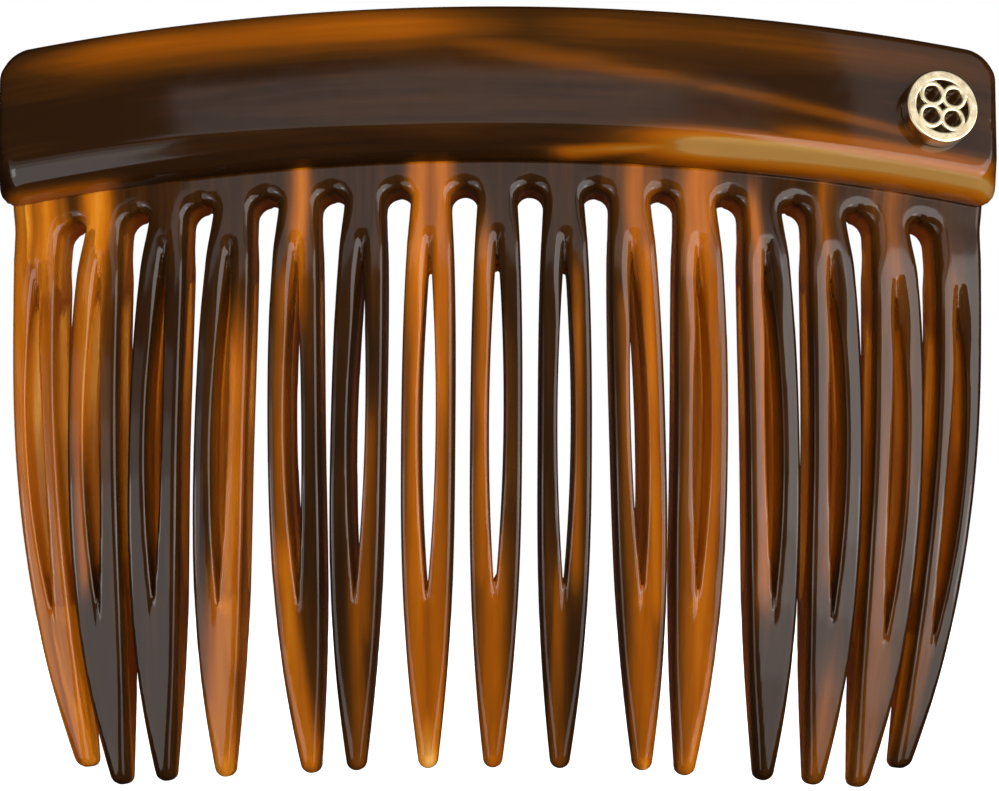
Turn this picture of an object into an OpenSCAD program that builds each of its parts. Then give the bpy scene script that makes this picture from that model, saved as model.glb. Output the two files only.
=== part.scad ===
// Side comb: a comb plate with fifteen slotted teeth, a thicker bar bonded along its
// top, and a small openwork metal emblem pinned to the bar.
// X runs along the comb, +Z is up and the front faces -Y. The origin is in the middle
// of the plate's thickness, level with the tops of the gaps, where the hair stops.

/* [Comb plate] */
// Number of teeth
tooth_count = 15; // [11:2:15]
// Distance from one tooth to the next, along the plate
pitch = 5.31; // [5.2:0.01:5.4]
// Thickness of the plate and its teeth
plate_t = 4.4; // [3.5:0.1:5]
// Radius that the plate is bent to, around the head
bend_r = 114; // [110:1:200]
// How far the axis of that bend leans back, which arches the plate, in degrees
bend_lean = 32; // [20:1:36]
// How far the plate itself leans back above the teeth, in degrees
lean_back = 17; // [12:1:20]
// Distance that the plate reaches past each end gap
end_reach = 3.8; // [3.6:0.05:4.1]

/* [Teeth] */
// Width of the gap between two teeth at its top
gap_w = 2.1; // [1.6:0.1:2.4]
// Length of a middle tooth, straight down from the top of the gaps
tooth_len = 46.6; // [40:0.1:52]
// Greatest width of a tooth
tooth_w = 4.2; // [3.8:0.05:4.4]
// Distance below the top of the gaps where a tooth is widest
widest_at = 22; // [18:0.5:26]
// Greatest width of the two end teeth, which are slimmer
end_tooth_w = 3.6; // [3.2:0.1:4.4]
// Distance below the top of the gaps where an end tooth is widest
end_widest_at = 14; // [10:0.5:22]
// Width of a tooth just above its rounded tip
tip_w = 1.6; // [1.4:0.1:2.4]
// Thickness of a tooth at its tip
tip_t = 2.4; // [1.6:0.1:3]
// Radius of a tooth's backward curve, on its front
curve_r = 62; // [55:1:90]

/* [Slots] */
// Greatest width of the slot through a tooth
slot_w = 1.25; // [0.8:0.05:1.6]
// Length of the slot between its two points
slot_len = 28.2; // [22:0.1:30]
// Distance from the top of the gaps to the middle of the slot
slot_mid = 18.5; // [18:0.1:20]
// Radius of the round cutter that the slot is cut with
cutter_r = 19; // [18:0.5:24]
// Distance of the cutter's middle from the front of the tooth
cutter_out = 11.5; // [10.5:0.5:14]
// How far the cutter's middle is below the middle of the slot
cutter_low = 1.1; // [0:0.1:2]

/* [Bar] */
// Length of the bar, straight across
bar_w = 81; // [79:0.5:84]
// Height of the bar's face and lip in the middle
bar_h = 12.4; // [11:0.1:14]
// Height of the bar's lower edge above the gaps, in the middle
bar_low = 1.9; // [1.8:0.1:3]
// Thickness of the bar, in front of the plate
bar_t = 3.2; // [2.4:0.1:4]
// Height of the sloping lip along the bar's lower edge
lip_h = 1.7; // [1.2:0.1:2.4]
// Thickness left below the lip, against the plate
lip_t = 0.9; // [0.6:0.1:1.5]
// Radius of the bar's upper corners
corner_r = 2.4; // [1.5:0.1:3]
// Height of the bar above the plate's upper edge
bar_over = 0.8; // [0.2:0.1:1.5]

/* [Emblem] */
// Outer diameter of the emblem
emblem_d = 6.1; // [5:0.1:7]
// Thickness of the emblem
emblem_t = 1.5; // [1.2:0.1:2.2]
// Width of the emblem's outer ring
strip_w = 0.85; // [0.6:0.05:1]
// Radius of each petal ring
petal_r = 1.1; // [0.9:0.05:1.2]
// Width of the petal rings
petal_strip = 0.45; // [0.3:0.05:0.6]
// How far the petal rings reach into the outer ring, which joins them
petal_joint = 0.2; // [0.1:0.05:0.3]
// Distance from the middle of the bar to the emblem, along the plate
emblem_along = 33.9; // [30:0.1:34.4]
// Height of the emblem above the tops of the gaps, along the bar's face
emblem_up = 8.2; // [7.4:0.1:9.4]
// Diameter of the emblem's two pins
pin_d = 0.9; // [0.7:0.05:1.1]
// Depth that the pins reach into the bar
pin_depth = 1.8; // [1.2:0.1:2.2]

/* [Hidden] */
$fn = 96;
tooth_names = [for (i = [1 : tooth_count]) str("tooth_", i < 10 ? "0" : "", i)];

// How far each tip stands to the right of a straight tooth. The teeth are bent by hand,
// so they stand a little unevenly, and the end ones turn in.
tip_shift = [2.7, 0.0, -1.5, -1.7, 0.3, -1.2, -0.5, -0.4, -0.1, 1.5, -0.2, 1.2, 0.2, -1.3, -3.4];
// How much shorter than a middle tooth each one is
shorter = [3.1, 0.8, 0.4, 0.2, 0.1, 0, 0, 0, 0, 0, -0.1, -0.1, 0.1, 0.6, 3];
// How much lower than in a middle tooth each slot is, cut by hand
slot_drop = [-1.2, -1, -1.2, -0.4, -0.2, 0, 0, -0.2, 0, -0.1, 0, -0.1, -0.1, 1.2, 0.9];
// How fast a tooth narrows towards its root and towards its tip, and leans sideways
root_ease = 3;
tip_ease = 2.3;
lean_ease = 1.5;
// Slope of the thinned back of a tip, in degrees
thinning = 12;

smooth = 720;
middle = (tooth_count + 1) / 2;
gap_r = gap_w / 2;
root_half = pitch / 2 - gap_r;
front = plate_t / 2;
bar_front = front + bar_t;
bar_top = bar_low + bar_h;
plate_top = bar_top - bar_over;
section_lean = bend_lean - lean_back;
plate_half = (bend_r + front) * sin(turn((tooth_count / 2 - 1) * pitch + gap_r + end_reach));
pin_apart = emblem_d / 2 - strip_w / 2;
petal_out = emblem_d / 2 - strip_w - petal_r + petal_joint;
// Sizes of cutting shapes, each larger than what it cuts
cut_depth = 40;
cutter_w = 6;
// Angle to each side that a bent bar reaches before its ends are trimmed
bend_reach = 30;
// Steps along half the side of a tooth, and around a rounded end or corner
outline_steps = 14;
end_steps = 8;

// Angle around the head of a point this far along the plate
function turn(along) = along / bend_r * 180 / PI;

// Where the top of a gap or a tooth lies, at an angle around the head
function on_arch(a) =
    [bend_r * sin(a), bend_r * cos(bend_lean) * (1 - cos(a)), -bend_r * sin(bend_lean) * (1 - cos(a))];

// Which way the front of the plate faces there, seen from above
function facing(a) =
    atan2(cos(section_lean) * sin(a),
        sin(section_lean) * sin(bend_lean) + cos(section_lean) * cos(bend_lean) * cos(a));

// Points of an arc about a centre
function arc(centre, r, from, to, steps) =
    [for (i = [0 : steps])
        let (a = from + (to - from) * i / steps)
        centre + r * [cos(a), sin(a)]];

// Half the width of a tooth at this distance below the gaps, from its half width at the
// root, through its widest place, to its rounded tip, which starts at side_end
function half_width(down, root, wide, widest, side_end) =
    down < widest
        ? wide / 2 + (root - wide / 2) * pow((widest - down) / widest, root_ease)
        : wide / 2 - (wide - tip_w) / 2 * pow((down - widest) / (side_end - widest), tip_ease);

// How far a tooth's middle stands to the right of its root, at this distance below it
function sideways(down, length, shift) = shift * pow(down / length, lean_ease);

function is_end(i) = i == 1 || i == tooth_count;

// Turns a shape about the leaning axis that the plate is bent around
module around_head(a) {
    centre = [0, bend_r * cos(bend_lean), -bend_r * sin(bend_lean)];
    translate(centre)
        rotate([-bend_lean, 0, 0])
            rotate([0, 0, a])
                rotate([bend_lean, 0, 0])
                    translate(-centre)
                        children();
}

// Stands a shape at the top of the gaps, facing the way the plate faces there
module on_plate(along) {
    translate(on_arch(turn(along)))
        rotate([0, 0, facing(turn(along))])
            children();
}

// Leans a shape back with the plate
module leaning() {
    rotate([-lean_back, 0, 0])
        children();
}

// Stands a flat outline up and cuts it deep, before and behind
module upright() {
    rotate([90, 0, 0])
        linear_extrude(cut_depth, center = true)
            children();
}

// Bends a bar around the head. Its section is drawn with X towards the front and Y up
// the plate.
module bent() {
    translate([0, bend_r * cos(bend_lean), -bend_r * sin(bend_lean)])
        rotate([-bend_lean, 0, 0])
            rotate_extrude(angle = 2 * bend_reach, start = 270 - bend_reach, $fn = smooth)
                translate([bend_r, 0])
                    rotate(-section_lean)
                        children();
}

// Outline that trims the ends of a bent bar and rounds their upper corners. The bar's
// upper edge is top up the plate and out in front of its middle.
module trimmed_ends(half, top, out) {
    foot = -bar_h;
    edge_r = bend_r + out * cos(section_lean) + top * sin(section_lean);
    run = half - corner_r;
    slope = asin(run / edge_r) * sin(bend_lean);
    corner_y = top * cos(lean_back) + out * sin(lean_back) - corner_r
        - edge_r * (1 - cos(asin(run / edge_r))) * sin(bend_lean);
    right = arc([run, corner_y], corner_r, 0, 90 - slope, end_steps);
    polygon(concat(
        [[-half, foot], [half, foot]],
        right,
        [[0, top + bar_h]],
        [for (i = [end_steps : -1 : 0]) [-right[i][0], right[i][1]]]));
}

// The round-topped cut between two teeth
module gap_cut() {
    leaning()
        upright() {
            translate([0, -gap_r])
                circle(gap_r);
            translate([-gap_r, -cut_depth - gap_r])
                square([gap_w, cut_depth]);
        }
}

// Everything below the line where a tooth starts
module below_root(width) {
    leaning()
        upright()
            translate([-width / 2, -3 * cut_depth - gap_r])
                square([width, 3 * cut_depth]);
}

// The part of the comb plate above the teeth, with the round tops of the gaps
module spine() {
    below_teeth = 8;
    beyond_ends = 1.06;
    color("#4a2c18")
        difference() {
            intersection() {
                bent()
                    translate([-front, -below_teeth])
                        square([plate_t, plate_top + below_teeth]);
                upright()
                    trimmed_ends(plate_half, plate_top, front);
            }
            for (i = [1 : tooth_count])
                on_plate((i - middle) * pitch)
                    below_root(pitch * beyond_ends);
            for (i = [1 : tooth_count - 1])
                on_plate((i + 0.5 - middle) * pitch)
                    gap_cut();
        }
}

// Front outline of a tooth, with half its width at the root given for each side
module tooth_outline(length, shift, left_root, right_root, wide, widest) {
    side_end = length - tip_w / 2;
    steps = 2 * outline_steps;
    left = [for (i = [1 : steps])
        let (down = side_end * i / steps)
        [sideways(down, length, shift) - half_width(down, left_root, wide, widest, side_end), -down]];
    right = [for (i = [steps : -1 : 1])
        let (down = side_end * i / steps)
        [sideways(down, length, shift) + half_width(down, right_root, wide, widest, side_end), -down]];
    polygon(concat(
        [[-left_root, gap_r], [-left_root, 0]],
        left,
        arc([sideways(side_end, length, shift), -side_end], tip_w / 2, 200, 340, end_steps),
        right,
        [[right_root, 0], [right_root, gap_r]]));
}

// Lens-shaped cut through a tooth, as deep as the round cutter reaches
module slot_cut(length, shift, drop) {
    edge_r = (slot_len * slot_len + slot_w * slot_w) / (4 * slot_w);
    down = slot_mid + drop;
    along_lean = sideways(down, length, shift);
    tilt = -atan(lean_ease * along_lean / down);
    translate([along_lean, 0, -down])
        rotate([0, tilt, 0])
            intersection() {
                upright()
                    intersection_for(side = [-1, 1])
                        translate([side * (edge_r - slot_w / 2), 0])
                            circle(edge_r, $fn = smooth);
                translate([0, -front - cutter_out, -cutter_low])
                    rotate([0, 90, 0])
                        cylinder(r = cutter_r, h = cutter_w, center = true);
            }
}

// Slab that curves back towards the head, as thick as the plate, with its back sloping
// in towards a thinner tip
module backward_curve(length) {
    centre_r = curve_r - front;
    centre = [0, centre_r * cos(lean_back), -centre_r * sin(lean_back)];
    tip_front = centre[1] - sqrt(pow(curve_r, 2) - pow(length + centre[2], 2));
    difference() {
        translate(centre)
            rotate([0, 90, 0])
                difference() {
                    cylinder(r = curve_r, h = 4 * pitch, center = true, $fn = smooth);
                    cylinder(r = curve_r - plate_t, h = 5 * pitch, center = true, $fn = smooth);
                }
        translate([-2 * pitch, tip_front + tip_t, -length])
            rotate([thinning, 0, 0])
                translate([0, 0, -cut_depth / 2])
                    cube([4 * pitch, cut_depth, cut_depth]);
    }
}

// One tooth, curving back towards the head, with a slot through it
module tooth(i) {
    length = tooth_len - shorter[i - 1];
    shift = tip_shift[i - 1];
    end_root = end_reach - root_half;
    color(i % 2 == 0 ? "#5a3018" : "#9a5514")
        on_plate((i - middle) * pitch)
            difference() {
                intersection() {
                    upright()
                        tooth_outline(length, shift,
                            i == 1 ? end_root : root_half,
                            i == tooth_count ? end_root : root_half,
                            is_end(i) ? end_tooth_w : tooth_w,
                            is_end(i) ? end_widest_at : widest_at);
                    below_root(4 * pitch);
                    backward_curve(length);
                }
                slot_cut(length, shift, slot_drop[i - 1]);
            }
}

// Where the emblem lies, with +Y up the bar's face and +Z out of it
module at_emblem() {
    around_head(turn(emblem_along))
        leaning()
            translate([0, -bar_front, emblem_up])
                rotate([90, 0, 0])
                    children();
}

// Puts a copy on each of the emblem's two pins
module at_pins() {
    for (side = [-1, 1])
        translate([pin_apart * side, 0])
            children();
}

// The arched bar, with a sloping lip below and holes for the emblem's pins
module front_bar() {
    color("#3a2415")
        difference() {
            intersection() {
                bent()
                    polygon([[front, bar_low], [front + lip_t, bar_low], [bar_front, bar_low + lip_h],
                        [bar_front, bar_top], [front, bar_top]]);
                upright()
                    trimmed_ends(bar_w / 2, bar_top, bar_front);
            }
            at_emblem()
                at_pins()
                    translate([0, 0, -pin_depth])
                        cylinder(d = pin_d, h = 2 * pin_depth);
        }
}

// Outline of the emblem's four petals, filled in
module petals(r) {
    for (quarter = [0 : 3])
        rotate(90 * quarter + 45)
            translate([petal_out, 0])
                circle(r);
}

// Openwork emblem: a ring around four small petal rings
module emblem() {
    color("#e8c98a")
        at_emblem()
            linear_extrude(emblem_t) {
                difference() {
                    circle(d = emblem_d);
                    circle(d = emblem_d - 2 * strip_w);
                }
                difference() {
                    petals(petal_r);
                    petals(petal_r - petal_strip);
                }
            }
}

// The two pins that hold the emblem in the bar
module emblem_pins() {
    color("#c9a25c")
        at_emblem()
            at_pins()
                translate([0, 0, -pin_depth])
                    cylinder(d = pin_d, h = pin_depth);
}

spine();
front_bar();
emblem();
emblem_pins();
for (i = [1 : tooth_count])
    tooth(i);
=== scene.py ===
"""Looks for the side comb: the acetate comb, its front bar, the emblem, light and camera."""
import math
import bpy
import numpy as np
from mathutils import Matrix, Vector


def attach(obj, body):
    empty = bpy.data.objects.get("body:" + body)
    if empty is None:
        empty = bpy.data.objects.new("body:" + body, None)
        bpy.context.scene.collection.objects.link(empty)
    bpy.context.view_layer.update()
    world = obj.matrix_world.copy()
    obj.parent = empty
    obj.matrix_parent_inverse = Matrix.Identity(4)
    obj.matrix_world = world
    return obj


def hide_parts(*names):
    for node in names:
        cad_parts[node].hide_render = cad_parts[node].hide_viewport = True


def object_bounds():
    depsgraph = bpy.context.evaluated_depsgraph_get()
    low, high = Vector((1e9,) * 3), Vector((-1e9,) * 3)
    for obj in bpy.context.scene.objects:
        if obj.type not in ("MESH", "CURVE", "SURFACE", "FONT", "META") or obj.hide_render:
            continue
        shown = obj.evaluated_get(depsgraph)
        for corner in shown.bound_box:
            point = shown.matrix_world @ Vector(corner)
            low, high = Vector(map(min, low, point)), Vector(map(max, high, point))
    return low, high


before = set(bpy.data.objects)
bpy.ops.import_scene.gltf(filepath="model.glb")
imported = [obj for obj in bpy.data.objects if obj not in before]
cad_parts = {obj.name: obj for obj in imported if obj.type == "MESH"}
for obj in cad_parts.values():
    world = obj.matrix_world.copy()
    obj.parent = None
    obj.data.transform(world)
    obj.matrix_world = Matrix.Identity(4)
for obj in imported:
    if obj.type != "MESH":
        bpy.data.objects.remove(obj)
cad_low, cad_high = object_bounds()
MM = 0.001

# ---------------------------------------------------------------- the comb's sizes
# The same driving dimensions as the CAD model, in millimetres.
# The plate: its teeth's spacing, its thickness, the bend around the head, how far that
# bend's axis and the plate itself lean back, and how far the plate reaches past an end gap
TOOTH_COUNT = 15
PITCH = 5.31
PLATE_T = 4.4
BEND_R = 114.0
BEND_LEAN = math.radians(32)
LEAN_BACK = math.radians(17)
END_REACH = 3.8
# Radius of a gap's round top
GAP_R = 1.05
# The teeth: length, greatest width and how far down that is, the same for the slimmer end
# teeth, width at the tip, and radius of the backward curve
TOOTH_LEN = 46.6
TOOTH_W = 4.2
WIDEST_AT = 22.0
END_TOOTH_W = 3.6
END_WIDEST_AT = 14.0
TIP_W = 1.6
CURVE_R = 62.0
# How fast a tooth narrows towards its root and towards its tip, and leans sideways
ROOT_EASE = 3
TIP_EASE = 2.3
LEAN_EASE = 1.5
# The slot in each tooth, and the round cutter that it is cut with: its radius, and how far
# its middle is in front of the tooth and below the slot's
SLOT_W = 1.25
SLOT_LEN = 28.2
SLOT_MID = 18.5
CUTTER_R = 19.0
CUTTER_OUT = 11.5
CUTTER_LOW = 1.1
# The front bar: its size and height above the gaps, its sloping lip, its upper corners, and
# its height above the plate
BAR_W = 81.0
BAR_H = 12.4
BAR_LOW = 1.9
BAR_T = 3.2
LIP_H = 1.7
LIP_T = 0.9
CORNER_R = 2.4
BAR_OVER = 0.8
# The emblem: its size, its ring, its petal rings and how far they reach into the ring, and
# its place along the bar and above the gaps
EMBLEM_D = 6.1
EMBLEM_T = 1.5
STRIP_W = 0.85
PETAL_R = 1.1
PETAL_STRIP = 0.45
PETAL_JOINT = 0.2
EMBLEM_ALONG = 33.9
EMBLEM_UP = 8.2
# How uneven the hand-bent teeth are, from left to right: how far each tip stands to the
# right, how much shorter each tooth is, and how much lower its slot is
TIP_SHIFT = np.array([2.7, 0, -1.5, -1.7, 0.3, -1.2, -0.5, -0.4, -0.1, 1.5, -0.2, 1.2, 0.2,
                      -1.3, -3.4])
SHORTER = np.array([3.1, 0.8, 0.4, 0.2, 0.1, 0, 0, 0, 0, 0, -0.1, -0.1, 0.1, 0.6, 3])
SLOT_DROP = np.array([-1.2, -1, -1.2, -0.4, -0.2, 0, 0, -0.2, 0, -0.1, 0, -0.1, -0.1, 1.2, 0.9])

# Worked out from them
MIDDLE = (TOOTH_COUNT - 1) / 2
FRONT = PLATE_T / 2
BAR_FRONT = FRONT + BAR_T
BAR_TOP = BAR_LOW + BAR_H
PLATE_TOP = BAR_TOP - BAR_OVER
CENTRE_R = CURVE_R - FRONT
SECTION_LEAN = BEND_LEAN - LEAN_BACK
ROOT_HALF = PITCH / 2 - GAP_R
END_ROOT = END_REACH - ROOT_HALF


# ---------------------------------------------------------------- solids from fields
# A field is a function of x, y and z that is negative inside a solid. smooth_max and
# smooth_min join two fields with a rounded edge of a given size.
# Distance over which a field's slope is taken
SLOPE_STEP = 0.02
# How the net's points are pulled onto the surface: how often, how far at most each time,
# and the least slope squared that is taken
PULLS = 4
LONGEST_PULL = 0.15
LEAST_SLOPE = 0.1


def smooth_min(a, b, size):
    blend = np.clip(0.5 + 0.5 * (b - a) / size, 0, 1)
    return b + (a - b) * blend - size * blend * (1 - blend)


def smooth_max(a, b, size):
    return -smooth_min(-a, -b, size)


def rounded_slab(outline, thickness, edge):
    """Slab of a flat outline, with a round edge. thickness is negative between its faces."""
    out = outline + edge
    over = thickness + edge
    corner = np.hypot(np.maximum(out, 0), np.maximum(over, 0))
    return corner + np.minimum(np.maximum(out, over), 0) - edge


def smoothstep(low, high, value):
    t = np.clip((value - low) / (high - low), 0, 1)
    return t * t * (3 - 2 * t)


def gradient(field, points):
    slope = np.empty_like(points)
    for axis in range(3):
        ahead = points.copy()
        behind = points.copy()
        ahead[:, axis] += SLOPE_STEP
        behind[:, axis] -= SLOPE_STEP
        slope[:, axis] = (field(*ahead.T) - field(*behind.T)) / (2 * SLOPE_STEP)
    return slope


def surface_net(field, low, high, step):
    """Quads on the surface where the field is zero: one point in each grid cell that the
    surface crosses, pulled onto the surface."""
    axes = [np.arange(a, b + s, s) for a, b, s in zip(low, high, step)]
    shape = [len(a) for a in axes]
    value = field(*np.meshgrid(*axes, indexing="ij")).astype(np.float32)
    inside = value < 0
    cells = [n - 1 for n in shape]
    total = np.zeros(cells + [3], np.float32)
    count = np.zeros(cells, np.float32)
    corners = [(i, j, k) for i in (0, 1) for j in (0, 1) for k in (0, 1)]

    def corner(grid, c):
        return grid[tuple(slice(c[a], c[a] + cells[a]) for a in range(3))]

    for start in corners:
        for axis in range(3):
            if start[axis]:
                continue
            end = tuple(start[a] + (a == axis) for a in range(3))
            crossed = corner(inside, start) != corner(inside, end)
            first = corner(value, start)
            last = corner(value, end)
            part = np.where(crossed, first / np.where(crossed, first - last, 1), 0)
            for a in range(3):
                total[..., a] += np.where(crossed, start[a] + (part if a == axis else 0), 0)
            count += crossed
    used = count > 0
    index = np.full(cells, -1)
    index[used] = np.arange(used.sum())
    where = np.argwhere(used)
    points = (where + total[used] / count[used][:, None]) * np.array(step) + [a[0] for a in axes]

    quads = []
    for axis in range(3):
        one, two = (axis + 1) % 3, (axis + 2) % 3
        first = [slice(1, n - 1) for n in shape]
        first[axis] = slice(0, shape[axis] - 1)
        last = list(first)
        last[axis] = slice(1, shape[axis])
        change = inside[tuple(first)].astype(int) - inside[tuple(last)]
        for sign in (1, -1):
            at = np.argwhere(change == sign)
            at[:, one] += 1
            at[:, two] += 1
            ring = []
            for d1, d2 in ((0, 0), (-1, 0), (-1, -1), (0, -1))[::sign]:
                cell = at.copy()
                cell[:, one] += d1
                cell[:, two] += d2
                ring.append(index[tuple(cell.T)])
            quads.append(np.stack(ring, axis=1))
    quads = np.concatenate(quads)

    for _ in range(PULLS):
        slope = gradient(field, points)
        size = np.maximum((slope ** 2).sum(axis=1), LEAST_SLOPE)
        move = field(*points.T) / size
        points -= slope * np.clip(move, -LONGEST_PULL, LONGEST_PULL)[:, None]
    return points, quads


def make_solid(name, field, box, step, place, slot, **paint):
    """Blender object from a field's surface, bent into place by a function. Each paint is a
    function of the points before they are bent, kept as an attribute for the material."""
    points, quads = surface_net(field, box[0], box[1], step)
    mesh = bpy.data.meshes.new(name)
    mesh.from_pydata(place(points) * MM, [], quads.tolist())
    mesh.shade_smooth()
    flat = mesh.attributes.new("flat", "FLOAT_VECTOR", "POINT")
    flat.data.foreach_set("vector", points.astype(np.float32).ravel())
    for key, value in paint.items():
        layer = mesh.attributes.new(key, "FLOAT", "POINT")
        layer.data.foreach_set("value", value(*points.T).astype(np.float32))
    mesh.update()
    piece = bpy.data.objects.new(name, mesh)
    bpy.context.collection.objects.link(piece)
    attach(piece, "root")
    return piece


# ---------------------------------------------------------------- where things lie
def on_arch(angle):
    """Top of the gaps, at an angle around the head."""
    fall = BEND_R * (1 - np.cos(angle))
    return np.stack([BEND_R * np.sin(angle), fall * math.cos(BEND_LEAN),
                     -fall * math.sin(BEND_LEAN)], axis=-1)


def around_head(along, up, out):
    """Bends a flat strip around the head: along it, up its face, and out of its front."""
    angle = along / BEND_R
    radial = BEND_R + out * math.cos(SECTION_LEAN) + up * math.sin(SECTION_LEAN)
    axial = up * math.cos(SECTION_LEAN) - out * math.sin(SECTION_LEAN)
    back = BEND_R - radial * np.cos(angle)
    y = back * math.cos(BEND_LEAN) + axial * math.sin(BEND_LEAN)
    z = -back * math.sin(BEND_LEAN) + axial * math.cos(BEND_LEAN)
    return np.stack([radial * np.sin(angle), y, z], axis=-1)


def tooth_number(along):
    return np.clip(np.round(along / PITCH + MIDDLE), 0, TOOTH_COUNT - 1).astype(int)


def down_of(arc):
    """How far straight down a point is, that lies this far along a tooth's curve."""
    return CENTRE_R * (math.sin(LEAN_BACK) - np.sin(LEAN_BACK - arc / CENTRE_R))


def sideways(down, number):
    """How far a tooth's middle stands to the right of its root, this far below it."""
    return TIP_SHIFT[number] * (down / (TOOTH_LEN - SHORTER[number])) ** LEAN_EASE


def on_tooth(along, arc, out):
    """Bends a flat tooth back and stands it on the plate."""
    number = tooth_number(along)
    angle = (number - MIDDLE) * PITCH / BEND_R
    down = np.maximum(down_of(arc), 0)
    across = along - (number - MIDDLE) * PITCH + sideways(down, number)
    tilt = LEAN_BACK - arc / CENTRE_R
    back = CENTRE_R * (math.cos(LEAN_BACK) - np.cos(tilt)) - out * np.cos(tilt)
    rise = -down_of(arc) + out * np.sin(tilt)
    facing = np.arctan2(math.cos(SECTION_LEAN) * np.sin(angle),
                        math.sin(SECTION_LEAN) * math.sin(BEND_LEAN)
                        + math.cos(SECTION_LEAN) * math.cos(BEND_LEAN) * np.cos(angle))
    start = on_arch(angle)
    return np.stack([start[..., 0] + across * np.cos(facing) - back * np.sin(facing),
                     start[..., 1] + across * np.sin(facing) + back * np.cos(facing),
                     start[..., 2] + rise], axis=-1)


# ---------------------------------------------------------------- the acetate comb
# Rounding of the edges along the teeth, around the gaps' tops and at the tips
EDGE = 0.4
RIM_EDGE = 0.95
TIP_EDGE = 0.75
# How far from a gap's top its rounding starts and ends to fade
RIM_FADE = (1, 4)
# Thickness of a tip, how far down a tooth starts to thin, and how gently it starts
TIP_T = 2.4
THIN_FROM = 31.0
THIN_EASE = 1.4
# Share of the thinning stretch after which the edge grows rounder
TIP_EDGE_FROM = 0.3
# Rounding of a slot's rim, which is greater near its top, and how far down that fades
SLOT_EDGE = 0.3
SLOT_TOP_EDGE = 1.0
SLOT_TOP_FADE = (1, 7)
# How much wider than at half thickness each side of a slot is at the front
SLOT_FLARE = 0.06
# Stretch along a tooth over which it goes over from the plate's bend to its own curve
ROOT_BLEND = (-1.5, 3)
# How far askew each slot is cut: sideways, for each millimetre into the tooth
SLOT_SKEW = np.array([0, 0, -0.11, -0.16, -0.08, -0.07, 0, 0, 0, 0.14, 0.19, 0.16, 0.1, 0, 0])


def half_width(down, root, wide, widest, side_end):
    """Half the width of a tooth at a depth below the gaps' tops."""
    above = np.clip((widest - down) / (widest - GAP_R), 0, 1)
    upper = wide / 2 + (root - wide / 2) * above ** ROOT_EASE
    lower = (wide - TIP_W) / 2 * np.clip((down - widest) / (side_end - widest), 0, 1) ** TIP_EASE
    return upper - lower


def comb_field(along, up, out):
    """The comb before it is bent: negative inside."""
    arc = -up
    tilt = LEAN_BACK - arc / CENTRE_R
    down = down_of(np.maximum(arc, 0)) - out * np.minimum(np.sin(tilt), 0)
    number = tooth_number(along)
    across = along - (number - MIDDLE) * PITCH
    length = TOOTH_LEN - SHORTER[number]
    side_end = length - TIP_W / 2
    end_tooth = (number == 0) | (number == TOOTH_COUNT - 1)
    end_side = np.abs(along) > MIDDLE * PITCH
    root = np.where(end_side, END_ROOT, ROOT_HALF)
    wide = np.where(end_tooth, END_TOOTH_W, TOOTH_W)
    widest = np.where(end_tooth, END_WIDEST_AT, WIDEST_AT)

    sides = np.abs(across) - half_width(down, root, wide, widest, side_end)
    tip = np.hypot(across, down - side_end) - TIP_W / 2
    tooth = np.where(down > side_end, tip, sides)
    gap_top = GAP_R - np.hypot(PITCH / 2 - np.abs(across), arc - GAP_R)
    above = np.where(end_side, np.abs(across) - END_ROOT, gap_top)
    outline = np.where(arc < GAP_R, above, tooth)
    outline = smooth_max(outline, up - PLATE_TOP, CORNER_R)

    towards_tip = np.clip((down - THIN_FROM) / (length - THIN_FROM), 0, 1)
    thinner = (PLATE_T - TIP_T) * towards_tip ** THIN_EASE
    thickness = np.abs(out - thinner / 2) - (PLATE_T - thinner) / 2
    near_rim = np.where(end_side, 0, 1 - smoothstep(*RIM_FADE, np.abs(arc - GAP_R)))
    near_tip = smoothstep(TIP_EDGE_FROM, 1, towards_tip)
    edge = EDGE + (RIM_EDGE - EDGE) * near_rim + (TIP_EDGE - EDGE) * near_tip
    body = rounded_slab(outline, thickness, edge)

    flank_r = (SLOT_LEN ** 2 + SLOT_W ** 2) / (4 * SLOT_W)
    slot_down = down_of(arc) - out * np.sin(tilt) - SLOT_MID - SLOT_DROP[number]
    askew = np.abs(across + SLOT_SKEW[number] * (FRONT - out))
    lens = np.hypot(askew + flank_r - SLOT_W / 2, slot_down) - flank_r
    lens = lens - SLOT_FLARE * out / FRONT * np.clip(1 - (2 * slot_down / SLOT_LEN) ** 2, 0, 1)
    behind = CENTRE_R * (math.cos(LEAN_BACK) - np.cos(tilt)) - out * np.cos(tilt)
    cutter = np.hypot(slot_down - CUTTER_LOW, behind + FRONT + CUTTER_OUT) - CUTTER_R
    from_top = slot_down + SLOT_LEN / 2
    rim = SLOT_EDGE + (SLOT_TOP_EDGE - SLOT_EDGE) * (1 - smoothstep(*SLOT_TOP_FADE, from_top))
    slot = smooth_max(lens, cutter, SLOT_EDGE)
    return smooth_max(body, -slot, rim)


def bend_comb(points):
    along, up, out = points.T
    arc = -up
    as_plate = around_head(along, up, out)
    as_tooth = on_tooth(along, arc, out)
    blend = smoothstep(*ROOT_BLEND, arc)[:, None]
    return as_plate + (as_tooth - as_plate) * blend


# ---------------------------------------------------------------- the front bar
# Rounding of the bar's edges: at its ends, along its top, below its lip and at its back
BAR_EDGE = 0.45
BAR_TOP_EDGE = 0.7
LIP_EDGE = 0.6
BACK_EDGE = 0.2
# Radius of its lower corners
LOW_CORNER_R = 1.8
# Rounding of the crease where the face meets the lip, which grows towards the left end,
# and how far left of the middle it starts and ends to grow
CREASE = 0.45
LEFT_CREASE = 1.1
CREASE_GROWS = (4, 34)
# Heights above the bar's lower edge between which the crease's rounding becomes the ends',
# and depths below its upper edge within which that becomes the top's
ABOVE_CREASE = (3, 5)
BELOW_TOP = (1, 2)
# How much lower the face is at its upper edge than in its middle
CROWN = 0.25


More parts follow.
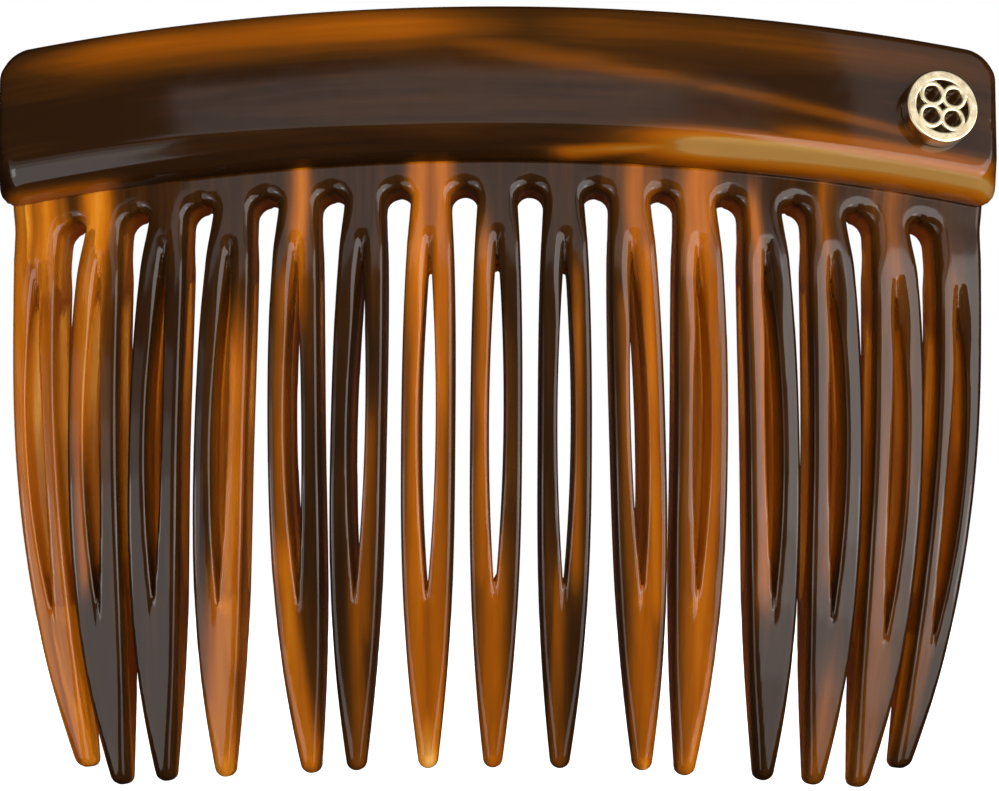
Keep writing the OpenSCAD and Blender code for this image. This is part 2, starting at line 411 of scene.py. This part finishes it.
def round_corner(a, b, r):
    """Joins two fields where both are negative, with an arc of radius r at their corner."""
    outside = np.hypot(np.maximum(a + r, 0), np.maximum(b + r, 0))
    return outside + np.minimum(np.maximum(a, b) + r, 0) - r


def bar_field(along, up, out):
    """The bar before it is bent: negative inside."""
    radial = BEND_R + out * math.cos(SECTION_LEAN) + up * math.sin(SECTION_LEAN)
    side = np.abs(radial * np.sin(along / BEND_R)) - BAR_W / 2
    slope = math.hypot(LIP_H, BAR_T - LIP_T)
    lip = ((out - FRONT - LIP_T) * LIP_H - (up - BAR_LOW) * (BAR_T - LIP_T)) / slope
    under = smooth_max(BAR_LOW - up, lip, LIP_EDGE)
    outline = round_corner(up - BAR_TOP, side, CORNER_R)
    outline = np.maximum(outline, round_corner(under, side, LOW_CORNER_R))
    crease = CREASE + (LEFT_CREASE - CREASE) * smoothstep(*CREASE_GROWS, -along)
    near_top = 1 - smoothstep(*BELOW_TOP, BAR_TOP - up)
    edge = (crease + (BAR_EDGE - crease) * smoothstep(*ABOVE_CREASE, up - BAR_LOW)
            + (BAR_TOP_EDGE - BAR_EDGE) * near_top)
    above_middle = np.maximum(up - BAR_LOW - BAR_H / 2, 0) / (BAR_H / 2)
    ahead = round_corner(outline, out + CROWN * above_middle ** 2 - BAR_FRONT, edge)
    return round_corner(ahead, FRONT - out, BACK_EDGE)


def bend_bar(points):
    return around_head(*points.T)


# ---------------------------------------------------------------- the emblem
# How far each petal's middle is from the emblem's, and the rounding of all its edges
PETAL_OUT = EMBLEM_D / 2 - STRIP_W - PETAL_R + PETAL_JOINT
EMBLEM_EDGE = 0.12


def emblem_field(right, up, out):
    """A ring around four petal rings, on the bar's face."""
    radius = np.hypot(right, up)
    ring = np.abs(radius - (EMBLEM_D - STRIP_W) / 2) - STRIP_W / 2
    diagonal = PETAL_OUT * math.sqrt(0.5)
    to_petal = np.hypot(np.abs(right) - diagonal, np.abs(up) - diagonal)
    petals = np.abs(to_petal - PETAL_R + PETAL_STRIP / 2) - PETAL_STRIP / 2
    outline = np.minimum(ring, petals)
    return rounded_slab(outline, np.abs(out - EMBLEM_T / 2) - EMBLEM_T / 2, EMBLEM_EDGE)


def place_emblem(points):
    right, up, out = points.T
    angle = EMBLEM_ALONG / BEND_R
    tangent = np.array([math.cos(angle), math.sin(angle) * math.cos(BEND_LEAN),
                        -math.sin(angle) * math.sin(BEND_LEAN)])
    along = np.full_like(right, EMBLEM_ALONG)
    return around_head(along, EMBLEM_UP + up, BAR_FRONT + out) + right[:, None] * tangent


# ---------------------------------------------------------------- amber in the acetate
# Amber streaks of each sheet, as (start, end, half width, strength), in millimetres along
# the comb and up it. The comb's sheet flows along the teeth and the bar's along the bar.
# The comb's last four entries are painted glow of light through the thin tips of four teeth.
COMB_AMBER_AND_TIP_GLOW = [
    ((-38.4, 3), (-38.0, -46), 1.0, 0.85),
    ((-36.4, 3), (-36.6, -46), 1.8, 0.68),
    ((-32.2, 4), (-32.4, -15), 1.5, 0.84),
    ((-33.0, -14), (-32.8, -28), 0.5, 0.6),
    ((-20.2, -15), (-20.4, -34), 1.3, 0.84),
    ((-21.0, -34), (-21.2, -48), 1.6, 0.72),
    ((-15.6, 5), (-15.6, -8), 0.9, 0.70),
    ((-16.9, -8), (-16.9, -30), 0.7, 0.50),
    ((-16.9, -30), (-15.9, -44), 1.1, 0.74),
    ((-9.7, -20), (-9.8, -34), 0.8, 0.45),
    ((-10.2, -34), (-10.4, -46), 1.0, 0.40),
    ((-6.1, 5), (-6.0, -47), 1.3, 0.67),
    ((-4.4, 5), (-4.5, -47), 1.2, 0.66),
    ((-1.0, -6), (-1.0, -30), 0.8, 0.60),
    ((1.0, -14), (1.0, -28), 0.6, 0.18),
    ((-0.2, -31), (-0.2, -46), 1.5, 0.60),
    ((6.2, -8), (6.2, -30), 0.6, 0.44),
    ((4.8, -32), (4.9, -47), 0.8, 0.42),
    ((10.8, 4), (11.4, -4), 2.0, 0.52),
    ((11.6, -6), (11.6, -32), 0.8, 0.68),
    ((9.6, -10), (9.6, -30), 0.6, 0.44),
    ((10.6, -32), (10.8, -47), 1.5, 0.62),
    ((16.0, 3), (16.2, -46), 1.8, 0.64),
    ((20.3, -2), (20.3, -30), 0.7, 0.56),
    ((26.2, 3), (25.8, -28), 0.8, 0.40),
    ((26.7, -41), (26.6, -49), 1.2, 0.42),
    ((31.6, 4), (31.4, -46), 1.5, 0.36),
    ((36.6, -6), (36.6, -40), 0.8, 0.28),
    # Painted glow: these four make the tips of the first, fourth, seventh and tenth teeth palest cream,
    # as light shining through the thin tips
    ((-37.0, -46), (-36.8, -48), 0.7, 1.0),
    ((-21.2, -48), (-21.2, -49), 0.6, 1.0),
    ((-5.3, -46), (-5.3, -49), 1.2, 1.0),
    ((10.8, -47), (10.8, -49), 0.5, 1.0),
]
BAR_AMBER = [
    ((-36, 11.0), (-29, 12.3), 1.0, 0.12),
    ((-28, 12.5), (-8, 12.4), 1.8, 0.64),
    ((-6, 11.8), (5, 9.6), 1.0, 0.32),
    ((5, 9.4), (17, 7.8), 0.7, 0.28),
    ((17, 7.8), (31, 6.0), 0.6, 0.40),
    ((8, 12.5), (32, 12.0), 1.6, 0.24),
    ((6, 2.3), (14, 3.0), 0.4, 0.86),
    ((16, 3.1), (41, 3.0), 1.3, 1.05),
    ((24, 4.6), (38, 4.3), 0.8, 0.56),
    ((-41, 2.1), (-32, 2.0), 0.5, 0.60),
]
# Amber tint towards the back of each sheet, as (place along the comb, strength): a painted glow
# of light shining through the acetate, which colours the teeth's side walls and backs
COMB_PAINTED_GLOW = [(-36, 0.90), (-20, 0.76), (-8, 0.5), (8, 0.5), (20, 0.74), (36, 0.76)]
BAR_PAINTED_GLOW = [(0, 0)]
# How many times longer a streak's fading end is than its fading side
FLOW_STRETCH = 4.5
# Distances in front of the sheet's middle between which the painted glow fades out
GLOW_FADE = (-0.2, 1.9)


def amber_and_glow_of(streaks, flow, painted_glow):
    """Function that says how amber the sheet is at a point, from its streaks, which fade
    out slowly along the flow, and from the painted glow of light through the acetate behind them."""
    places, strengths = zip(*painted_glow)

    def amber(along, up, out):
        total = np.zeros_like(along)
        for start, end, width, strength in streaks:
            run = np.subtract(end, start)
            part = ((along - start[0]) * run[0] + (up - start[1]) * run[1]) / (run @ run)
            part = np.clip(part, 0, 1)
            away_x = (along - start[0] - part * run[0]) / flow[0]
            away_y = (up - start[1] - part * run[1]) / flow[1]
            total = np.maximum(total, strength * np.exp(-(away_x ** 2 + away_y ** 2) / width ** 2))
        # Painted glow of light through the acetate, strongest towards the back of the sheet
        glow_here = np.interp(along, places, strengths)
        return total + glow_here * (1 - smoothstep(*GLOW_FADE, out)) * (1 - total)
    return amber


# Where the marks fade in and out along a slot, as shares of its length from its middle,
# and where they end sideways from its middle and towards the front
MARKS_FADE_IN = (0.36, 0.42)
MARKS_FADE_OUT = (0.5, 0.55)
MARKS_SIDE = (0.3, 0.5)
MARKS_FRONT = (1.2, 1.8)


def slot_marks(along, up, out):
    """Where the cutter left its marks: near both ends of each slot, on its walls."""
    number = tooth_number(along)
    across = np.abs(along - (number - MIDDLE) * PITCH)
    from_middle = np.abs(-up - SLOT_MID - SLOT_DROP[number]) / SLOT_LEN
    at_end = smoothstep(*MARKS_FADE_IN, from_middle) * (1 - smoothstep(*MARKS_FADE_OUT, from_middle))
    return at_end * (1 - smoothstep(*MARKS_SIDE, across)) * (1 - smoothstep(*MARKS_FRONT, out))


def no_marks(along, up, out):
    return np.zeros_like(along)


# ---------------------------------------------------------------- materials
class Nodes:
    """A material's or the world's node tree, with one call per node."""

    def __init__(self, tree):
        self.tree = tree
        tree.nodes.clear()

    def add(self, kind, inputs=(), **settings):
        """New node. inputs gives values or other nodes' outputs by socket name or number."""
        node = self.tree.nodes.new(kind)
        for key, value in settings.items():
            setattr(node, key, value)
        for key, value in dict(inputs).items():
            if isinstance(value, bpy.types.NodeSocket):
                self.tree.links.new(value, node.inputs[key])
            else:
                node.inputs[key].default_value = value
        return node

    def math(self, operation, a, b, clamp=False):
        return self.add("ShaderNodeMath", {0: a, 1: b}, operation=operation, use_clamp=clamp).outputs[0]

    def spread(self, value, low, high, to_low, to_high):
        """Value mapped from one range to another, and held at its ends."""
        return self.add("ShaderNodeMapRange", {"Value": value, "From Min": low, "From Max": high,
                                               "To Min": to_low, "To Max": to_high}).outputs[0]

    def attribute(self, name, output="Fac"):
        return self.add("ShaderNodeAttribute", attribute_name=name).outputs[output]

    def noise(self, vector, scale, detail=3.0, distortion=0.0):
        """Noise from 0 to 1, on a vector stretched by a scale for each axis."""
        at = self.add("ShaderNodeMapping", {"Vector": vector, "Scale": scale}).outputs[0]
        return self.add("ShaderNodeTexNoise", {"Vector": at, "Scale": 1.0, "Detail": detail,
                                               "Distortion": distortion}).outputs["Fac"]

    def ramp(self, value, stops):
        """Colour by value, from stops given as (value, colour)."""
        node = self.add("ShaderNodeValToRGB", {"Fac": value})
        elements = node.color_ramp.elements
        while len(elements) < len(stops):
            elements.new(0.5)
        for element, (place, colour) in zip(elements, stops):
            element.position = place
            element.color = (*colour, 1)
        return node.outputs[0]


def new_material(name):
    material = bpy.data.materials.new(name)
    material.use_nodes = True
    return material, Nodes(material.node_tree)


# Range that nearly all values of a noise fall in
NOISE_RANGE = (0.3, 0.7)
# Colours of the acetate by its tint, from the darkest brown to the palest amber. The paler
# stops also colour the painted glow at the tooth tips and through the side walls.
ACETATE = [
    (0.00, (0.036, 0.013, 0.003)),
    (0.20, (0.085, 0.027, 0.003)),
    (0.40, (0.220, 0.060, 0.003)),
    (0.60, (0.450, 0.112, 0.003)),
    (0.80, (0.680, 0.190, 0.004)),
    (0.92, (0.790, 0.280, 0.020)),
    (1.00, (0.920, 0.480, 0.120)),
]
ACETATE_IOR = 1.49
# How much the clouds and the fine lines add to the tint
CLOUD_TINT = (-0.08, 0.10)
FINE_TINT = (-0.04, 0.04)
# Tints between which the acetate grows clearer, and its clearness there
CLEARING_TINT = (0.25, 0.95)
CLEARNESS = (0.05, 0.45)
# Gloss, and how often it, the cutter marks and the polishing waves change for each millimetre
ACETATE_ROUGHNESS = (0.07, 0.12)
GLOSS_SCALE = (0.9, 0.9, 0.9)
MARKS_SCALE = (3.5, 3.5, 3.5)
WAVES_SCALE = (0.12, 0.12, 0.12)
# Heights of the marks and waves, as shares of the bump's depth
MARKS_HEIGHT = 3
WAVES_HEIGHT = 0.35
ACETATE_BUMP = 0.25 * MM


def acetate(name, flow, fine_flow):
    """Polished tortoiseshell acetate, with its colours drawn out along the flow."""
    material, nodes = new_material(name)
    flat = nodes.attribute("flat", "Vector")
    broad = nodes.noise(flat, flow, detail=2.0, distortion=0.6)
    fine = nodes.noise(flat, fine_flow, detail=4.0, distortion=0.3)
    clouds = nodes.spread(broad, *NOISE_RANGE, *CLOUD_TINT)
    lines = nodes.spread(fine, *NOISE_RANGE, *FINE_TINT)
    tint = nodes.math("ADD", nodes.attribute("amber"), clouds)
    tint = nodes.math("ADD", tint, lines, clamp=True)
    colour = nodes.ramp(tint, ACETATE)
    clearness = nodes.spread(tint, *CLEARING_TINT, *CLEARNESS)

    gloss = nodes.noise(flat, GLOSS_SCALE, detail=2.0)
    roughness = nodes.spread(gloss, *NOISE_RANGE, *ACETATE_ROUGHNESS)
    marks = nodes.noise(flat, MARKS_SCALE)
    marks_height = nodes.spread(nodes.attribute("marks"), 0, 1, 0, MARKS_HEIGHT)
    waves = nodes.noise(flat, WAVES_SCALE, detail=1.0)
    height = nodes.math("ADD", nodes.math("MULTIPLY", marks, marks_height),
                        nodes.math("MULTIPLY", waves, WAVES_HEIGHT))
    bump = nodes.add("ShaderNodeBump", {"Height": height, "Strength": 0.6, "Distance": ACETATE_BUMP})
    shader = nodes.add("ShaderNodeBsdfPrincipled", {
        "Base Color": colour, "Roughness": roughness, "IOR": ACETATE_IOR,
        "Transmission Weight": clearness, "Normal": bump.outputs[0]})
    nodes.add("ShaderNodeOutputMaterial", {"Surface": shader.outputs[0]})
    return material


# Colours and gloss of the plating, from its dull spots to its clean parts
GOLD = [(0.3, (0.93, 0.76, 0.47)), (0.7, (0.98, 0.84, 0.58))]
GOLD_ROUGHNESS = (0.14, 0.26)
# How often the brushing and the spots change for each metre, and the brushing's depth
BRUSHING_SCALE = (9000, 1200, 9000)
SPOTS_SCALE = (1400, 1400, 1400)
BRUSHING_DEPTH = 0.02 * MM


def gold(name):
    """Polished pale gold plating with fine brushing and a few dull spots."""
    material, nodes = new_material(name)
    place = nodes.add("ShaderNodeTexCoord").outputs["Object"]
    brushing = nodes.noise(place, BRUSHING_SCALE, detail=4.0)
    spots = nodes.noise(place, SPOTS_SCALE)
    roughness = nodes.spread(spots, *NOISE_RANGE, *GOLD_ROUGHNESS)
    bump = nodes.add("ShaderNodeBump", {"Height": brushing, "Strength": 0.15, "Distance": BRUSHING_DEPTH})
    shader = nodes.add("ShaderNodeBsdfPrincipled", {
        "Base Color": nodes.ramp(spots, GOLD), "Metallic": 1.0, "Roughness": roughness,
        "Normal": bump.outputs[0]})
    nodes.add("ShaderNodeOutputMaterial", {"Surface": shader.outputs[0]})
    return material


# ---------------------------------------------------------------- the pieces
# The box that each flat solid lies in with room to spare, and the grid that its surface is
# found on, along it, up it and out of its front
COMB_BOX = ((-41, -52, -2.7), (41, 15, 2.7))
COMB_STEP = (0.22, 0.5, 0.24)
BAR_BOX = ((-42, 1, 1.8), (42, 15, 6))
BAR_STEP = (0.4, 0.2, 0.2)
EMBLEM_HALF = EMBLEM_D / 2 + 0.3
EMBLEM_BOX = ((-EMBLEM_HALF, -EMBLEM_HALF, -0.2), (EMBLEM_HALF, EMBLEM_HALF, EMBLEM_T + 0.2))
EMBLEM_STEP = (0.07, 0.07, 0.07)
# Clouds and fine lines in each sheet's colour, as how often they change for each
# millimetre in the same three directions
COMB_FLOW = (0.8, 0.06, 0.5)
COMB_FINE_FLOW = (2.4, 0.12, 1.4)
BAR_FLOW = (0.04, 0.35, 0.3)
BAR_FINE_FLOW = (0.10, 2.0, 0.8)

# The amber attribute holds the amber streaks, the painted glow at four tooth tips and the painted glow
# through the side walls
comb = make_solid("comb", comb_field, COMB_BOX, COMB_STEP, bend_comb, "comb_acetate",
                  amber=amber_and_glow_of(COMB_AMBER_AND_TIP_GLOW, (1, FLOW_STRETCH), COMB_PAINTED_GLOW), marks=slot_marks)
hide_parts("spine", *[f"tooth_{i + 1:02d}" for i in range(TOOTH_COUNT)])
comb.data.materials.append(acetate("comb_acetate", COMB_FLOW, COMB_FINE_FLOW))

bar = make_solid("bar", bar_field, BAR_BOX, BAR_STEP, bend_bar, "bar_acetate",
                 amber=amber_and_glow_of(BAR_AMBER, (FLOW_STRETCH, 1), BAR_PAINTED_GLOW), marks=no_marks)
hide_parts("front_bar")
bar.data.materials.append(acetate("bar_acetate", BAR_FLOW, BAR_FINE_FLOW))

ornament = make_solid("ornament", emblem_field, EMBLEM_BOX, EMBLEM_STEP, place_emblem, "gold_plate")
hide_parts("emblem")
plating = gold("gold_plate")
ornament.data.materials.append(plating)
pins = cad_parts["emblem_pins"]
pins.data.materials.clear()
pins.data.materials.append(plating)


# ---------------------------------------------------------------- floor, light and camera
# Distance of the camera from the comb's front, where the picture is this wide
CAMERA_AWAY = 0.6
NEAREST = -4.3 * MM
PICTURE_WIDE = 80.08 * MM
EYE = (0.16 * MM, NEAREST - CAMERA_AWAY, -16.4 * MM)
SENSOR_WIDE = 36
# The floor lies just below the tips
FLOOR_GAP = 0.4 * MM
FLOOR_HALF = 3.0
# Brightness of the studio in front of the comb and behind it, as the gloss shows it, and how
# far to each side of the middle one goes over to the other
STUDIO_FRONT = 0.04
STUDIO_BACK = 0.012
STUDIO_FADE = 0.3
# How far away the upright light panels stand
PANELS_AWAY = 0.5
# The two side lights reach from their inner edges to this azimuth and fade upwards or
# downwards. Each band of them is given as the azimuth of its inner edge, the elevations of
# its lower and upper edges, and its brightness.
OUTER_EDGE = 70
LEFT_PANELS = [(-27, -56, -8, 1.4), (-27, -8, 2, 0.9), (-27, 2, 12, 0.4)]
RIGHT_PANELS = [(27, -56, -42, 1.3), (25, -42, -30, 1.7), (23, -30, -18, 2.2), (21, -18, 28, 2.8),
                (36, 28, 50, 0.6)]


def make_floor():
    """Plain pale floor, which isn't part of the object."""
    level = cad_low.z - FLOOR_GAP
    corners = [(x * FLOOR_HALF, y * FLOOR_HALF, level) for x, y in ((-1, -1), (1, -1), (1, 1), (-1, 1))]
    mesh = bpy.data.meshes.new("floor")
    mesh.from_pydata(corners, [], [(0, 1, 2, 3)])
    floor = bpy.data.objects.new("floor", mesh)
    bpy.context.collection.objects.link(floor)
    floor.visible_glossy = False
    floor.visible_diffuse = False
    material, nodes = new_material("floor")
    place = nodes.add("ShaderNodeTexCoord").outputs["Object"]
    grain = nodes.noise(place, (60, 60, 60))
    greys = nodes.ramp(grain, [(0.3, (0.86, 0.86, 0.86)), (0.7, (0.9, 0.9, 0.9))])
    shader = nodes.add("ShaderNodeBsdfPrincipled", {
        "Base Color": greys, "Roughness": 0.7, "Emission Color": (1, 1, 1, 1), "Emission Strength": 1.0})
    nodes.add("ShaderNodeOutputMaterial", {"Surface": shader.outputs[0]})
    mesh.materials.append(material)


def make_world():
    """Dim studio with a white background, which also shines through the acetate."""
    world = bpy.data.worlds.new("studio")
    world.use_nodes = True
    nodes = Nodes(world.node_tree)
    path = nodes.add("ShaderNodeLightPath")
    seen = path.outputs["Is Camera Ray"]
    through = path.outputs["Is Transmission Ray"]
    towards = nodes.add("ShaderNodeTexCoord").outputs["Generated"]
    back = nodes.add("ShaderNodeSeparateXYZ", {0: towards}).outputs["Y"]
    level = nodes.math("MAXIMUM", nodes.math("MAXIMUM", seen, through),
                       nodes.spread(back, -STUDIO_FADE, STUDIO_FADE, STUDIO_FRONT, STUDIO_BACK))
    shade = nodes.add("ShaderNodeBackground", {"Color": (1, 1, 1, 1), "Strength": level})
    nodes.add("ShaderNodeOutputWorld", {"Surface": shade.outputs[0]})
    bpy.context.scene.world = world


def panel(name, place, rotation, wide, tall, brightness, in_gloss=True):
    """Evenly bright rectangle of light, which the camera doesn't see."""
    data = bpy.data.lights.new(name, "AREA")
    data.shape = "RECTANGLE"
    data.size = wide
    data.size_y = tall
    data.energy = brightness * math.pi * wide * tall
    light = bpy.data.objects.new(name, data)
    light.location = place
    light.rotation_euler = rotation
    light.visible_camera = False
    light.visible_glossy = in_gloss
    bpy.context.collection.objects.link(light)


def softbox(name, azimuths, elevations, brightness, in_gloss=True):
    """Upright panel around the comb, by the angles in degrees that it fills as seen from
    there. Azimuth 0 is in front of the comb, and azimuths grow towards the right."""
    turn = math.radians(sum(azimuths) / 2)
    wide = 2 * PANELS_AWAY * math.tan(math.radians(azimuths[1] - azimuths[0]) / 2)
    bottom, top = (PANELS_AWAY * math.tan(math.radians(angle)) for angle in elevations)
    place = (PANELS_AWAY * math.sin(turn), -PANELS_AWAY * math.cos(turn), EYE[2] + (bottom + top) / 2)
    panel(name, place, (math.pi / 2, 0, turn), wide, top - bottom, brightness, in_gloss)


def make_lights():
    """Softboxes that show in the gloss, and softer fill lights that don't."""
    for number, (edge, bottom, top, brightness) in enumerate(LEFT_PANELS):
        softbox(f"left_softbox_{number}", (-OUTER_EDGE, edge), (bottom, top), brightness)
    for number, (edge, bottom, top, brightness) in enumerate(RIGHT_PANELS):
        softbox(f"right_softbox_{number}", (edge, OUTER_EDGE), (bottom, top), brightness)
    softbox("top_softbox", (-33, 28), (24, 39), 0.75)
    softbox("left_spot", (-63, -51), (-23, -7), 3)
    softbox("right_spot", (51, 63), (-23, -7), 3)
    softbox("fill_softbox", (-27, 27), (0, 40), 1.9, in_gloss=False)
    softbox("back_fill_softbox", (150, 210), (0, 40), 1.8, in_gloss=False)
    facing_up = (math.pi, 0, 0)
    panel("floor_bounce", (0, -0.25, cad_low.z), facing_up, wide=0.5, tall=0.3, brightness=0.6,
          in_gloss=False)


def make_camera():
    """Camera straight in front of the comb, as far away as the view needs."""
    data = bpy.data.cameras.new("camera")
    data.sensor_width = SENSOR_WIDE
    data.lens = SENSOR_WIDE * CAMERA_AWAY / PICTURE_WIDE
    camera = bpy.data.objects.new("camera", data)
    camera.location = EYE
    camera.rotation_euler = (math.pi / 2, 0, 0)
    bpy.context.collection.objects.link(camera)
    bpy.context.scene.camera = camera


make_camera()
make_floor()
make_world()
make_lights()
bpy.context.scene.view_settings.view_transform = "Standard"
